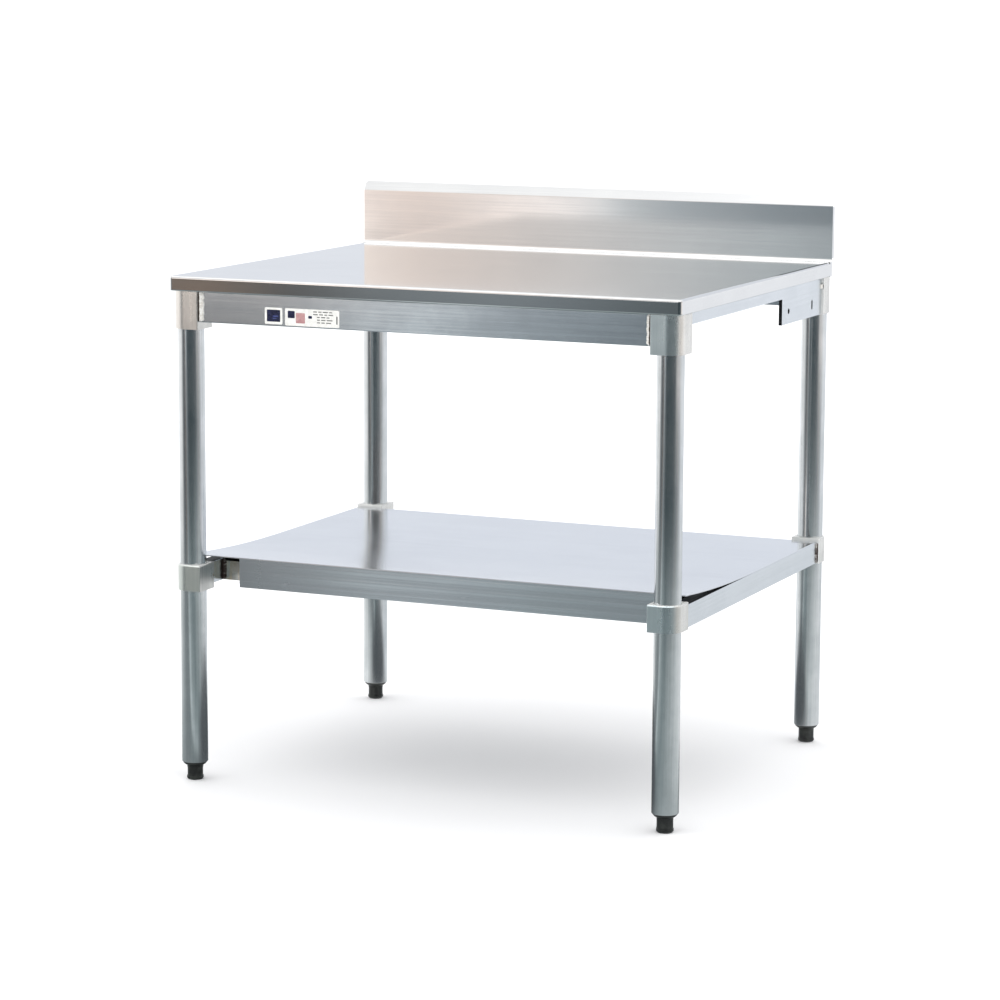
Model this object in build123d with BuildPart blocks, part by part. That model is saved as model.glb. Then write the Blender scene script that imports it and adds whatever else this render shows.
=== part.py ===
from build123d import *

import os
from math import cos, hypot, radians, sin

# Stainless-topped work table with a backsplash, aluminium pipe legs and an adjustable undershelf.
# Millimetres. X runs left to right, Y from the front (-Y) to the back (+Y), Z up from the floor.
# The origin is on the floor, under the middle of the table.

INCH = 25.4
FIT = 0.05  # clearance all round between a thread or plug and its hole

# Overall sizes
TOP_WIDTH = 36 * INCH
TABLE_DEPTH = 30 * INCH
WORK_HEIGHT = 34 * INCH
SPLASH_RISE = 4.5 * INCH

# Worktop: one bent sheet with a turned-down edge and an upstand at the back
SHEET = 1.5
EDGE_HEIGHT = 1 * INCH
EDGE_TOP_RADIUS = 4.5
EDGE_BOTTOM_RADIUS = 2.5
CORNER_RADIUS = 6.5
LIP_DEPTH = 14.0
SPLASH_FACE_Y = TABLE_DEPTH / 2 - 16.0
SPLASH_BEND_RADIUS = 3.0
COVE_RADIUS = 6.35
SPLASH_STRIP_START = SPLASH_FACE_Y - 10.0
RETURN_LENGTH = 0.75 * INCH
RETURN_TILT = 30.0
RETURN_CORNER = 6.0
SPLASH_END_DEPTH = 10.0

# Legs and their sockets
LEG_RADIUS = 1.75 * INCH / 2
LEG_WALL = 2.1
SOCKET_SIDE = 52.0
SOCKET_HALF = SOCKET_SIDE / 2
SOCKET_CORNER = 1.5
TOP_SOCKET_HEIGHT = 2.5 * INCH
SHELF_SOCKET_HEIGHT = 1.75 * INCH
TOP_SOCKET_BORE = LEG_RADIUS + 0.1
SHELF_SOCKET_BORE = LEG_RADIUS + 0.6
LEG_X = TOP_WIDTH / 2 - SOCKET_HALF - 1.5
FRONT_LEG_Y = -TABLE_DEPTH / 2 + SOCKET_HALF + 1.0
REAR_LEG_Y = TABLE_DEPTH / 2 - SOCKET_HALF

# Top frame, whose upper face carries the worktop
FRAME_TOP = WORK_HEIGHT - EDGE_HEIGHT
RAIL_SETOUT = 21.0  # from a leg's axis to the outer face of the rails
RAIL_DEPTH = 1 * INCH
RAIL_WALL = 3.2
RAIL_CORNER = 1.5
APRON_HEIGHT = 2 * INCH
SIDE_PLATE = 6.0
SIDE_PLATE_CORNER = 3.0
SIDE_DEEP = 2.5 * INCH
SIDE_SHALLOW = 0.75 * INCH
SIDE_STEP_Y = REAR_LEG_Y - 236.0
SIDE_HOLE_Y = REAR_LEG_Y - 201.6
SIDE_SLOT_Y = REAR_LEG_Y - 77.2
SIDE_HOLE_Z = WORK_HEIGHT - 67.6
SIDE_HOLE_RADIUS = 4.8
SIDE_SLOT_LENGTH = 17.0
SIDE_SLOT_WIDTH = 6.5
CROSS_RAIL_HEIGHT = 23.2
CROSS_RAIL_Y = SIDE_STEP_Y + 0.5

# Hat channels that stiffen the worktop, and the bolts that hold them to the side rails
HAT_SHEET = 1.2
HAT_CROWN = 44.0
HAT_FOOT = 18.0
HAT_END_GAP = 0.5
HAT_LENGTH = TOP_WIDTH - 2 * (SHEET + LIP_DEPTH + HAT_END_GAP)
HAT_HEIGHT = EDGE_HEIGHT - SHEET
HAT_CENTRES = {"front": -285.0, "middle": 10.0, "rear": 285.0}
BOLT_RADIUS = 3.0
BOLT_CLEARANCE = 0.3
BOLT_HEAD_RADIUS = 5.5
BOLT_HEAD_HEIGHT = 2.5
BOLT_TAIL = 1.5  # of thread below the nut
BOLT_X = LEG_X + RAIL_SETOUT - 16.0
BOLT_STEP = HAT_CROWN / 2 + HAT_FOOT / 2 + 2.0  # from a hat channel's middle line
NUT_FLATS = 10.0
NUT_HEIGHT = 5.0

# Levelling feet
TUBE_BOTTOM = 1.25 * INCH
TUBE_EDGE = 0.8
FOOT_HEIGHT = 24.8
FOOT_RADIUS = 14.3
FOOT_CHAMFER = 2.5
FOOT_BASE_TOP = 5.5
FOOT_NECK_INSET = 0.7
FOOT_NECK_Z = 8.0
FOOT_FLATS = 26.0
FLATS_BOTTOM = 6.0
FLATS_HEIGHT = 15.0
INSERT_BOTTOM = 25.0
INSERT_BARREL = 32.0
INSERT_RIM_RADIUS = LEG_RADIUS - 0.9
INSERT_BOWL_RADIUS = LEG_RADIUS - 3.2
INSERT_BOWL_Z = INSERT_BOTTOM + 3.4
STUD_RADIUS = 6.0
STUD_TOP = 60.0

# Undershelf
SHELF_BOTTOM = 13 * INCH
SHELF_RAIL_HEIGHT = 1.5 * INCH
SHELF_RAIL_TOP = SHELF_BOTTOM + SHELF_RAIL_HEIGHT
SHELF_CROSS_Y = FRONT_LEG_Y + 98.0
DECK_TOP = SHELF_RAIL_TOP + SHEET
DECK_FRONT_RISE = 15.5
DECK_FRONT_Y = FRONT_LEG_Y + 23.5
DECK_REAR_Y = REAR_LEG_Y - SOCKET_HALF - 2.0
DECK_BEND_RADIUS = 1.2
DECK_RISE_RADIUS = 3500.0
DECK_SIDE_X = LEG_X + RAIL_SETOUT
FLANGE_HEIGHT = 2 * INCH
FLANGE_LEFT_X = -354.0
FLANGE_RIGHT_X = LEG_X - SOCKET_HALF - 4.7
RIB_PROUD = 0.5
RIB_HEIGHT = 5.0
RIB_CENTRES = (9.0, 25.4, 42.0)  # down from the flange's upper edge
STIFFENER_Y = 115.0
STIFFENER_HEIGHT = 19.0

# Small parts
SCREW_RADIUS = 4.0
TOP_SCREW_REACH = SOCKET_HALF + 1.5
TOP_SCREW_GAP = 0.05
CORNER_SCREW_REACH = 34.5
CORNER_SCREW_GAP = 0.4
HEX_KEY = 4.0
HEX_KEY_DEPTH = 2.5
BEAD_ALONG_RAIL = 6.0
BEAD_ALONG_SOCKET = 3.5
BEAD_FULLNESS = 0.62
BEAD_END_GAP = 0.5
TACK_LENGTH = 8.0
LABEL_THICKNESS = 0.3
LABEL_CORNER = 2.0
LABEL_TOP = WORK_HEIGHT - 45.2
LABELS = {"label_small": (-279.5, 32.5, 27.5), "label_wide": (-242.0, 99.5, 28.5)}

CORNERS = {
    "front_left": (-1, -1),
    "front_right": (1, -1),
    "rear_left": (-1, 1),
    "rear_right": (1, 1),
}

os.makedirs("parts", exist_ok=True)


def leg_centre(side, end):
    """The axis of the leg at that corner: side is -1 left or 1 right, end is -1 front or 1 rear."""
    return side * LEG_X, FRONT_LEG_Y if end < 0 else REAR_LEG_Y


def save(part, name):
    part.label = name
    export_step(part, f"parts/{name}.step")


def make_worktop():
    tray_length = SPLASH_STRIP_START + TABLE_DEPTH / 2
    tray_middle = (SPLASH_STRIP_START - TABLE_DEPTH / 2) / 2
    bend_z = WORK_HEIGHT + SPLASH_RISE - RETURN_LENGTH * cos(radians(RETURN_TILT))
    tip = (SPLASH_FACE_Y + RETURN_LENGTH * sin(radians(RETURN_TILT)), WORK_HEIGHT + SPLASH_RISE)
    with BuildPart() as worktop:
        with BuildSketch(Plane.XY.offset(FRAME_TOP)):
            with Locations((0, tray_middle)):
                Rectangle(TOP_WIDTH, tray_length)
        extrude(amount=EDGE_HEIGHT)
        upright = worktop.edges().filter_by(Axis.Z).group_by(Axis.Y)[0]
        fillet(upright, CORNER_RADIUS)
        rear_face = worktop.faces().sort_by(Axis.Y)[-1]
        top_edges = worktop.faces().sort_by(Axis.Z)[-1].edges()
        fillet(top_edges - rear_face.edges(), EDGE_TOP_RADIUS)
        rear_face = worktop.faces().sort_by(Axis.Y)[-1]
        bottom_edges = worktop.faces().sort_by(Axis.Z)[0].edges()
        fillet(bottom_edges - rear_face.edges(), EDGE_BOTTOM_RADIUS)
        offset(amount=-SHEET, openings=worktop.faces().sort_by(Axis.Y)[-1])
        # the underside is open inside the lips
        with BuildSketch(Plane.XY.offset(FRAME_TOP)):
            inset = SHEET + LIP_DEPTH
            with Locations((0, tray_middle + inset)):
                Rectangle(TOP_WIDTH - 2 * inset, tray_length)
        extrude(amount=2 * SHEET, mode=Mode.SUBTRACT)
        # cove, upstand and the return along its top
        with BuildSketch(Plane.YZ.offset(-TOP_WIDTH / 2)):
            with BuildLine():
                FilletPolyline(
                    (SPLASH_STRIP_START, WORK_HEIGHT),
                    (SPLASH_FACE_Y, WORK_HEIGHT),
                    (SPLASH_FACE_Y, bend_z),
                    tip,
                    radius=[COVE_RADIUS, SPLASH_BEND_RADIUS],
                )
                offset(amount=SHEET, side=Side.RIGHT)
            make_face()
        extrude(amount=TOP_WIDTH)
        corner_edges = worktop.edges().filter_by(
            lambda e: abs(e.length - SHEET) < 0.01 and e.center().Z > tip[1] - 2
        )
        fillet(corner_edges, RETURN_CORNER)
        # the side edges carry on to the back of the upstand, and its ends are turned back
        for side in (-1, 1):
            with BuildSketch(Plane.YZ.offset(side * TOP_WIDTH / 2)):
                with Locations((SPLASH_STRIP_START, FRAME_TOP)):
                    Rectangle(
                        SPLASH_FACE_Y + SHEET - SPLASH_STRIP_START,
                        EDGE_HEIGHT,
                        align=(Align.MIN, Align.MIN),
                    )
                with Locations((SPLASH_FACE_Y + SHEET / 2, WORK_HEIGHT + COVE_RADIUS)):
                    Rectangle(
                        SPLASH_END_DEPTH,
                        bend_z - WORK_HEIGHT - COVE_RADIUS - SHEET,
                        align=(Align.MIN, Align.MIN),
                    )
            extrude(amount=-side * SHEET)
    save(worktop.part, "worktop")


def make_hat(name, centre_y, base_z, height, length, bolted):
    """A hat channel along X, open below, with a flat foot on each side."""
    half_crown = HAT_CROWN / 2
    half_foot = half_crown + HAT_FOOT
    with BuildPart() as hat:
        with BuildSketch(Plane.YZ.offset(-length / 2)):
            with BuildLine():
                Polyline(
                    (centre_y - half_foot, base_z + HAT_SHEET),
                    (centre_y - half_crown - HAT_SHEET, base_z + HAT_SHEET),
                    (centre_y - half_crown, base_z + height),
                    (centre_y + half_crown, base_z + height),
                    (centre_y + half_crown + HAT_SHEET, base_z + HAT_SHEET),
                    (centre_y + half_foot, base_z + HAT_SHEET),
                    (centre_y + half_foot, base_z),
                    (centre_y + half_crown, base_z),
                    (centre_y + half_crown - HAT_SHEET, base_z + height - HAT_SHEET),
                    (centre_y - half_crown + HAT_SHEET, base_z + height - HAT_SHEET),
                    (centre_y - half_crown, base_z),
                    (centre_y - half_foot, base_z),
                    close=True,
                )
            make_face()
        extrude(amount=length)
        if bolted:
            with BuildSketch(Plane.XY.offset(base_z)):
                with Locations([(x, y) for x, y in bolt_places() if abs(y - centre_y) < half_foot]):
                    Circle(BOLT_RADIUS + BOLT_CLEARANCE)
            extrude(amount=HAT_SHEET, mode=Mode.SUBTRACT)
    save(hat.part, name)


def bolt_places():
    """Where a bolt goes through a hat channel's foot and a side rail's upper flange."""
    return [
        (side * BOLT_X, y + step)
        for y in HAT_CENTRES.values()
        for side in (-1, 1)
        for step in (-BOLT_STEP, BOLT_STEP)
    ]


def make_top_fixings():
    with BuildPart() as bolts:
        with BuildSketch(Plane.XY.offset(FRAME_TOP + HAT_SHEET)):
            with Locations(bolt_places()):
                Circle(BOLT_HEAD_RADIUS)
        extrude(amount=BOLT_HEAD_HEIGHT)
        with BuildSketch(Plane.XY.offset(FRAME_TOP + HAT_SHEET)):
            with Locations(bolt_places()):
                Circle(BOLT_RADIUS)
        extrude(amount=-(HAT_SHEET + SIDE_PLATE + NUT_HEIGHT + BOLT_TAIL))
    save(bolts.part, "top_fixing_bolts")
    with BuildPart() as nuts:
        with BuildSketch(Plane.XY.offset(FRAME_TOP - SIDE_PLATE)):
            with Locations(bolt_places()):
                RegularPolygon(NUT_FLATS / 2, 6, major_radius=False)
                Circle(BOLT_RADIUS + FIT, mode=Mode.SUBTRACT)
        extrude(amount=-NUT_HEIGHT)
    save(nuts.part, "top_fixing_nuts")


def make_tube_along_x(name, half_length, outer_y, end, bottom, height):
    """A rectangular tube along X, with its outer face at outer_y and its body towards the middle."""
    middle = (outer_y - end * RAIL_DEPTH / 2, bottom + height / 2)
    with BuildPart() as tube:
        with BuildSketch(Plane.YZ.offset(-half_length)):
            with Locations(middle):
                RectangleRounded(RAIL_DEPTH, height, RAIL_CORNER)
                Rectangle(RAIL_DEPTH - 2 * RAIL_WALL, height - 2 * RAIL_WALL, mode=Mode.SUBTRACT)
        extrude(amount=2 * half_length)
    save(tube.part, name)


def make_shelf_side_rail(name, side):
    start = FRONT_LEG_Y + SOCKET_HALF
    length = REAR_LEG_Y - SOCKET_HALF - start
    middle = (side * (LEG_X + RAIL_SETOUT - RAIL_DEPTH / 2), SHELF_BOTTOM + SHELF_RAIL_HEIGHT / 2)
    with BuildPart() as rail:
        with BuildSketch(Plane.XZ.offset(-start)):
            with Locations(middle):
                RectangleRounded(RAIL_DEPTH, SHELF_RAIL_HEIGHT, RAIL_CORNER)
                Rectangle(
                    RAIL_DEPTH - 2 * RAIL_WALL,
                    SHELF_RAIL_HEIGHT - 2 * RAIL_WALL,
                    mode=Mode.SUBTRACT,
                )
        extrude(amount=-length)
    save(rail.part, name)


def make_top_side_rail(name, side):
    """An angle with its upright on the outside: shallow in front, and deep near the rear leg."""
    front = FRONT_LEG_Y + SOCKET_HALF
    rear = REAR_LEG_Y - SOCKET_HALF
    outer = side * (LEG_X + RAIL_SETOUT)
    inner = side * (LEG_X + RAIL_SETOUT - RAIL_DEPTH)
    with BuildPart() as rail:
        with BuildSketch(Plane.YZ.offset(outer)) as upright:
            with BuildLine():
                Polyline(
                    (front, FRAME_TOP),
                    (rear, FRAME_TOP),
                    (rear, FRAME_TOP - SIDE_DEEP),
                    (SIDE_STEP_Y, FRAME_TOP - SIDE_DEEP),
                    (SIDE_STEP_Y, FRAME_TOP - SIDE_SHALLOW),
                    (front, FRAME_TOP - SIDE_SHALLOW),
                    close=True,
                )
            make_face()
            lower_corner = upright.vertices().group_by(Axis.Y)[1].sort_by(Axis.Z)[0]
            fillet(lower_corner, SIDE_PLATE_CORNER)
            with Locations((SIDE_HOLE_Y, SIDE_HOLE_Z)):
                Circle(SIDE_HOLE_RADIUS, mode=Mode.SUBTRACT)
            with Locations((SIDE_SLOT_Y, SIDE_HOLE_Z)):
                SlotOverall(SIDE_SLOT_LENGTH, SIDE_SLOT_WIDTH, rotation=90, mode=Mode.SUBTRACT)
        extrude(amount=-side * SIDE_PLATE)
        with BuildSketch(Plane.XY.offset(FRAME_TOP)):
            with Locations(((outer + inner) / 2, (front + rear) / 2)):
                Rectangle(RAIL_DEPTH, rear - front)
        extrude(amount=-SIDE_PLATE)
        with BuildSketch(Plane.XY.offset(FRAME_TOP)):
            with Locations([(x, y) for x, y in bolt_places() if x * side > 0]):
                Circle(BOLT_RADIUS + BOLT_CLEARANCE)
        extrude(amount=-SIDE_PLATE, mode=Mode.SUBTRACT)
    save(rail.part, name)


def make_top_cross_rail():
    """A channel across the table behind the step in the side rails, open to the back."""
    half_length = LEG_X + RAIL_SETOUT - SIDE_PLATE
    top = FRAME_TOP - SIDE_PLATE
    middle_z = top - CROSS_RAIL_HEIGHT / 2
    with BuildPart() as rail:
        with BuildSketch(Plane.YZ.offset(-half_length)):
            with Locations((CROSS_RAIL_Y, middle_z)):
                Rectangle(RAIL_DEPTH, CROSS_RAIL_HEIGHT, align=(Align.MIN, Align.CENTER))
            with Locations((CROSS_RAIL_Y + RAIL_WALL, middle_z)):
                Rectangle(
                    RAIL_DEPTH,
                    CROSS_RAIL_HEIGHT - 2 * RAIL_WALL,
                    align=(Align.MIN, Align.CENTER),
                    mode=Mode.SUBTRACT,
                )
        extrude(amount=2 * half_length)
    save(rail.part, "top_cross_rail")


def square_way(side, end):
    """From a leg straight towards the table's middle line, front to back."""
    return Vector(0, -end, 0)


def corner_way(side, end):
    """From a leg through the corner of its socket that faces the middle of the table."""
    return Vector(-side, -end, 0).normalized()


def make_socket(name, side, end, bottom, height, bore, screw_way):
    """A square collar on a leg. Its corner at the table's corner is a full round about the leg."""
    x, y = leg_centre(side, end)
    with BuildPart() as socket:
        with BuildSketch(Plane.XY.offset(bottom)) as section:
            with Locations((x, y)):
                Circle(SOCKET_HALF)
                inner_x = Align.MAX if side > 0 else Align.MIN
                inner_y = Align.MAX if end > 0 else Align.MIN
                Rectangle(SOCKET_HALF, SOCKET_SIDE, align=(inner_x, Align.CENTER))
                Rectangle(SOCKET_SIDE, SOCKET_HALF, align=(Align.CENTER, inner_y))
            square_corners = section.vertices().sort_by(lambda v: hypot(v.X - x, v.Y - y))[-3:]
            fillet(square_corners, SOCKET_CORNER)
            with Locations((x, y)):
                Circle(bore, mode=Mode.SUBTRACT)
        extrude(amount=height)
        # the tapped hole of the clamping screw
        with BuildSketch(Plane((x, y, bottom + height / 2), z_dir=screw_way)):
            Circle(SCREW_RADIUS + FIT)
        extrude(amount=2 * SOCKET_HALF, mode=Mode.SUBTRACT)
    save(socket.part, name)


def make_clamp_screws(name, mid_height, way, reach, gap):
    """One grub screw for each socket, with a hexagon recess. Its tip stops just clear of the leg."""
    with BuildPart() as screws:
        for side, end in CORNERS.values():
            x, y = leg_centre(side, end)
            outward = way(side, end)
            head = Vector(x, y, mid_height) + outward * reach
            with BuildSketch(Plane(head, z_dir=outward)):
                Circle(SCREW_RADIUS)
            extrude(amount=LEG_RADIUS + gap - reach)
            with BuildSketch(Plane(head, z_dir=outward)):
                RegularPolygon(HEX_KEY / 2, 6, major_radius=False)
            extrude(amount=-HEX_KEY_DEPTH, mode=Mode.SUBTRACT)
    save(screws.part, name)


def make_leg(name, side, end):
    with BuildPart() as leg:
        with BuildSketch(Plane.XY.offset(TUBE_BOTTOM)):
            with Locations(leg_centre(side, end)):
                Circle(LEG_RADIUS)
                Circle(LEG_RADIUS - LEG_WALL, mode=Mode.SUBTRACT)
        extrude(amount=FRAME_TOP - TUBE_BOTTOM)
        fillet(leg.edges().group_by(Axis.Z)[0].sort_by(SortBy.RADIUS)[-1], TUBE_EDGE)
    save(leg.part, name)


def make_foot_insert(name, side, end):
    """The plastic plug in the bottom of a leg, with a bowl-shaped collar under the tube."""
    x, y = leg_centre(side, end)
    barrel = LEG_RADIUS - LEG_WALL - FIT
    bore = STUD_RADIUS + FIT
    axis_line = Axis((x, y, 0), (0, 0, 1))
    with BuildPart() as insert:
        with BuildSketch(Plane.XZ.offset(-y)):
            with BuildLine():
                Polyline(
                    (x + INSERT_RIM_RADIUS, TUBE_BOTTOM),
                    (x + barrel, TUBE_BOTTOM),
                    (x + barrel, TUBE_BOTTOM + INSERT_BARREL),
                    (x + bore, TUBE_BOTTOM + INSERT_BARREL),
                    (x + bore, INSERT_BOTTOM),
                    (x + FOOT_RADIUS, INSERT_BOTTOM),
                )
                ThreePointArc(
                    (x + FOOT_RADIUS, INSERT_BOTTOM),
                    (x + INSERT_BOWL_RADIUS, INSERT_BOWL_Z),
                    (x + INSERT_RIM_RADIUS, TUBE_BOTTOM),
                )
            make_face()
        revolve(axis=axis_line)
    save(insert.part, name)


def make_levelling_foot(name, side, end):
    """A foot with hexagon flats under a round head, on a stud that screws into the insert."""
    x, y = leg_centre(side, end)
    axis_line = Axis((x, y, 0), (0, 0, 1))
    with BuildPart() as foot:
        with BuildSketch(Plane.XZ.offset(-y)):
            with BuildLine():
                Polyline(
                    (x, 0),
                    (x + FOOT_RADIUS - FOOT_CHAMFER, 0),
                    (x + FOOT_RADIUS, FOOT_CHAMFER),
                    (x + FOOT_RADIUS, FOOT_BASE_TOP),
                    (x + FOOT_RADIUS - FOOT_NECK_INSET, FOOT_NECK_Z),
                    (x + FOOT_RADIUS - FOOT_NECK_INSET, FOOT_HEIGHT),
                    (x, FOOT_HEIGHT),
                    close=True,
                )
            make_face()
        revolve(axis=axis_line)
        with BuildSketch(Plane.XY.offset(FLATS_BOTTOM)):
            with Locations((x, y)):
                Circle(FOOT_RADIUS + FIT)
                RegularPolygon(FOOT_FLATS / 2, 6, major_radius=False, mode=Mode.SUBTRACT)
        extrude(amount=FLATS_HEIGHT, mode=Mode.SUBTRACT)
        with BuildSketch(Plane.XY.offset(FOOT_HEIGHT)):
            with Locations((x, y)):
                Circle(STUD_RADIUS)
        extrude(amount=STUD_TOP - FOOT_HEIGHT)
    save(foot.part, name)


def make_deck():
    """The shelf's sheet. It lies on the rear half of the side rails and rises towards its front."""
    front_top = DECK_TOP + DECK_FRONT_RISE
    rise_start = DECK_FRONT_Y / 2
    with BuildPart() as deck:
        with BuildSketch(Plane.YZ.offset(-DECK_SIDE_X)):
            with BuildLine():
                FilletPolyline(
                    (DECK_REAR_Y, DECK_TOP),
                    (rise_start, DECK_TOP),
                    (DECK_FRONT_Y, front_top),
                    radius=DECK_RISE_RADIUS,
                )
                offset(amount=SHEET, side=Side.LEFT)
            make_face()
        extrude(amount=2 * DECK_SIDE_X)
        with BuildSketch(Plane.YZ.offset(FLANGE_LEFT_X)):
            with Locations((DECK_FRONT_Y, front_top - FLANGE_HEIGHT)):
                Rectangle(SHEET, FLANGE_HEIGHT, align=(Align.MIN, Align.MIN))
            with Locations([(DECK_FRONT_Y, front_top - drop) for drop in RIB_CENTRES]):
                Rectangle(2 * RIB_PROUD, RIB_HEIGHT)
        extrude(amount=FLANGE_RIGHT_X - FLANGE_LEFT_X)
        bend = deck.edges().filter_by(Axis.X).filter_by(
            lambda e: abs(e.center().Y - DECK_FRONT_Y) < 0.4 and e.center().Z > front_top - 0.5
        )
        fillet(bend.sort_by(Axis.Z)[-1:], DECK_BEND_RADIUS)
    save(deck.part, "shelf_deck")


def make_welds(name, joints):
    """Upright weld fillets. Each joint is (x, y, reach along x, reach along y, bottom, top)."""
    with BuildPart() as welds:
        for x, y, reach_x, reach_y, bottom, top in joints:
            with BuildSketch(Plane.XY.offset(bottom)):
                with BuildLine():
                    Polyline((x + reach_x, y), (x, y), (x, y + reach_y))
                    ThreePointArc(
                        (x + reach_x, y),
                        (x + reach_x * BEAD_FULLNESS, y + reach_y * BEAD_FULLNESS),
                        (x, y + reach_y),
                    )
                make_face()
            extrude(amount=top - bottom)
    save(welds.part, name)


def top_weld_joints():
    joints = []
    socket_x = LEG_X - SOCKET_HALF
    outer_x = LEG_X + RAIL_SETOUT
    apron_low = FRAME_TOP - APRON_HEIGHT + RAIL_CORNER
    tack_low = FRAME_TOP - SIDE_SHALLOW + BEAD_END_GAP
    for side, end in CORNERS.values():
        leg_y = leg_centre(side, end)[1]
        apron_y = leg_y + end * RAIL_SETOUT
        socket_y = leg_y - end * SOCKET_HALF
        along_apron = (-side * BEAD_ALONG_RAIL, end * BEAD_ALONG_SOCKET)
        along_side = (side * BEAD_ALONG_SOCKET, -end * BEAD_ALONG_RAIL)
        joints.append((side * socket_x, apron_y, *along_apron, apron_low, FRAME_TOP - BEAD_END_GAP))
        joints.append((side * outer_x, socket_y, *along_side, tack_low, tack_low + TACK_LENGTH))
    return joints


def shelf_weld_joints():
    joints = []
    outer_x = LEG_X + RAIL_SETOUT
    inner_x = outer_x - RAIL_DEPTH
    low = SHELF_BOTTOM + RAIL_CORNER
    high = SHELF_RAIL_TOP - RAIL_CORNER
    for side, end in CORNERS.values():
        socket_y = leg_centre(side, end)[1] - end * SOCKET_HALF
        along_side = (side * BEAD_ALONG_SOCKET, -end * BEAD_ALONG_RAIL)
        along_cross = (-side * BEAD_ALONG_RAIL, end * BEAD_ALONG_RAIL)
        joints.append((side * outer_x, socket_y, *along_side, low, high))
        joints.append((side * inner_x, end * -SHELF_CROSS_Y, *along_cross, low, high))
    return joints


def make_label(name, left_x, width, height):
    face_y = FRONT_LEG_Y - RAIL_SETOUT
    with BuildPart() as label:
        with BuildSketch(Plane.XZ.offset(-face_y)):
            with Locations((left_x + width / 2, LABEL_TOP - height / 2)):
                RectangleRounded(width, height, LABEL_CORNER)
        extrude(amount=LABEL_THICKNESS)
    save(label.part, name)


make_worktop()
for place, centre_y in HAT_CENTRES.items():
    make_hat(f"hat_channel_{place}", centre_y, FRAME_TOP, HAT_HEIGHT, HAT_LENGTH, True)
make_top_fixings()

apron_half = LEG_X - SOCKET_HALF
apron_bottom = FRAME_TOP - APRON_HEIGHT
make_tube_along_x("front_apron", apron_half, FRONT_LEG_Y - RAIL_SETOUT, -1, apron_bottom, APRON_HEIGHT)
make_tube_along_x("rear_apron", apron_half, REAR_LEG_Y + RAIL_SETOUT, 1, apron_bottom, APRON_HEIGHT)
make_top_side_rail("left_side_rail", -1)
make_top_side_rail("right_side_rail", 1)
make_top_cross_rail()

top_low = FRAME_TOP - TOP_SOCKET_HEIGHT
for corner, (side, end) in CORNERS.items():
    way = square_way(side, end)
    make_socket(f"top_socket_{corner}", side, end, top_low, TOP_SOCKET_HEIGHT, TOP_SOCKET_BORE, way)
    way = corner_way(side, end)
    make_socket(
        f"shelf_socket_{corner}",
        side,
        end,
        SHELF_BOTTOM,
        SHELF_SOCKET_HEIGHT,
        SHELF_SOCKET_BORE,
        way,
    )
    make_leg(f"leg_{corner}", side, end)
    make_foot_insert(f"foot_insert_{corner}", side, end)
    make_levelling_foot(f"levelling_foot_{corner}", side, end)
top_screw_z = FRAME_TOP - TOP_SOCKET_HEIGHT / 2
shelf_screw_z = SHELF_BOTTOM + SHELF_SOCKET_HEIGHT / 2
make_clamp_screws("top_clamp_screws", top_screw_z, square_way, TOP_SCREW_REACH, TOP_SCREW_GAP)
make_clamp_screws("shelf_clamp_screws", shelf_screw_z, corner_way, CORNER_SCREW_REACH, CORNER_SCREW_GAP)

make_shelf_side_rail("shelf_left_rail", -1)
make_shelf_side_rail("shelf_right_rail", 1)
cross_half = LEG_X + RAIL_SETOUT - RAIL_DEPTH
make_tube_along_x("shelf_front_rail", cross_half, SHELF_CROSS_Y, -1, SHELF_BOTTOM, SHELF_RAIL_HEIGHT)
make_tube_along_x("shelf_rear_rail", cross_half, -SHELF_CROSS_Y, 1, SHELF_BOTTOM, SHELF_RAIL_HEIGHT)
stiffener_base = SHELF_RAIL_TOP - STIFFENER_HEIGHT
make_hat("shelf_stiffener", STIFFENER_Y, stiffener_base, STIFFENER_HEIGHT, 2 * cross_half, False)
make_deck()

make_welds("frame_welds", top_weld_joints())
make_welds("shelf_welds", shelf_weld_joints())
for name, (left_x, width, height) in LABELS.items():
    make_label(name, left_x, width, height)
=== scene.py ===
import math
import random

import bmesh
import bpy
from mathutils import Euler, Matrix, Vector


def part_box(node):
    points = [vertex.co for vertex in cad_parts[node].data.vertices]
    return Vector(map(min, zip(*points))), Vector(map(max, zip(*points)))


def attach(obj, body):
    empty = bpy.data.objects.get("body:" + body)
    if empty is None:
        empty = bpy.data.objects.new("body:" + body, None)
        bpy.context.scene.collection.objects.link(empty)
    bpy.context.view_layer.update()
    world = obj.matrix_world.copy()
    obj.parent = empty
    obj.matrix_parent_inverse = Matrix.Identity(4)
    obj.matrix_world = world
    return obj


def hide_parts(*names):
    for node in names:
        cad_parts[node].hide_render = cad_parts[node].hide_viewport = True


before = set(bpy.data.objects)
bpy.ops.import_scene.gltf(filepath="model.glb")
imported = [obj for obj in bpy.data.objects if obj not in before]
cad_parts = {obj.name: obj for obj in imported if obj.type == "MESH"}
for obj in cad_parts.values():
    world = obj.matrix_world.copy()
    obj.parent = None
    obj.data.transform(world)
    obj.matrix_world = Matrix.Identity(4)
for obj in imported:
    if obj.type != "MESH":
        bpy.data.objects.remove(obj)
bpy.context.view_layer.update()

MM = 0.001
CORNERS = ("front_left", "front_right", "rear_left", "rear_right")


def srgb(red, green, blue):
    """A colour given as it looks on a screen, 0 to 255, as the linear RGBA that a shader wants."""
    def linear(v):
        v /= 255
        return v / 12.92 if v <= 0.04045 else ((v + 0.055) / 1.055) ** 2.4
    return (linear(red), linear(green), linear(blue), 1.0)


def glow(red, green, blue):
    """The colour of a light, which may be brighter than 1."""
    return (red, green, blue, 1.0)


def grey(value):
    return glow(value, value, value)


def add_object(name, data):
    piece = bpy.data.objects.new(name, data)
    bpy.context.scene.collection.objects.link(piece)
    return piece


# ---------------------------------------------------------------- node helpers

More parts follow.
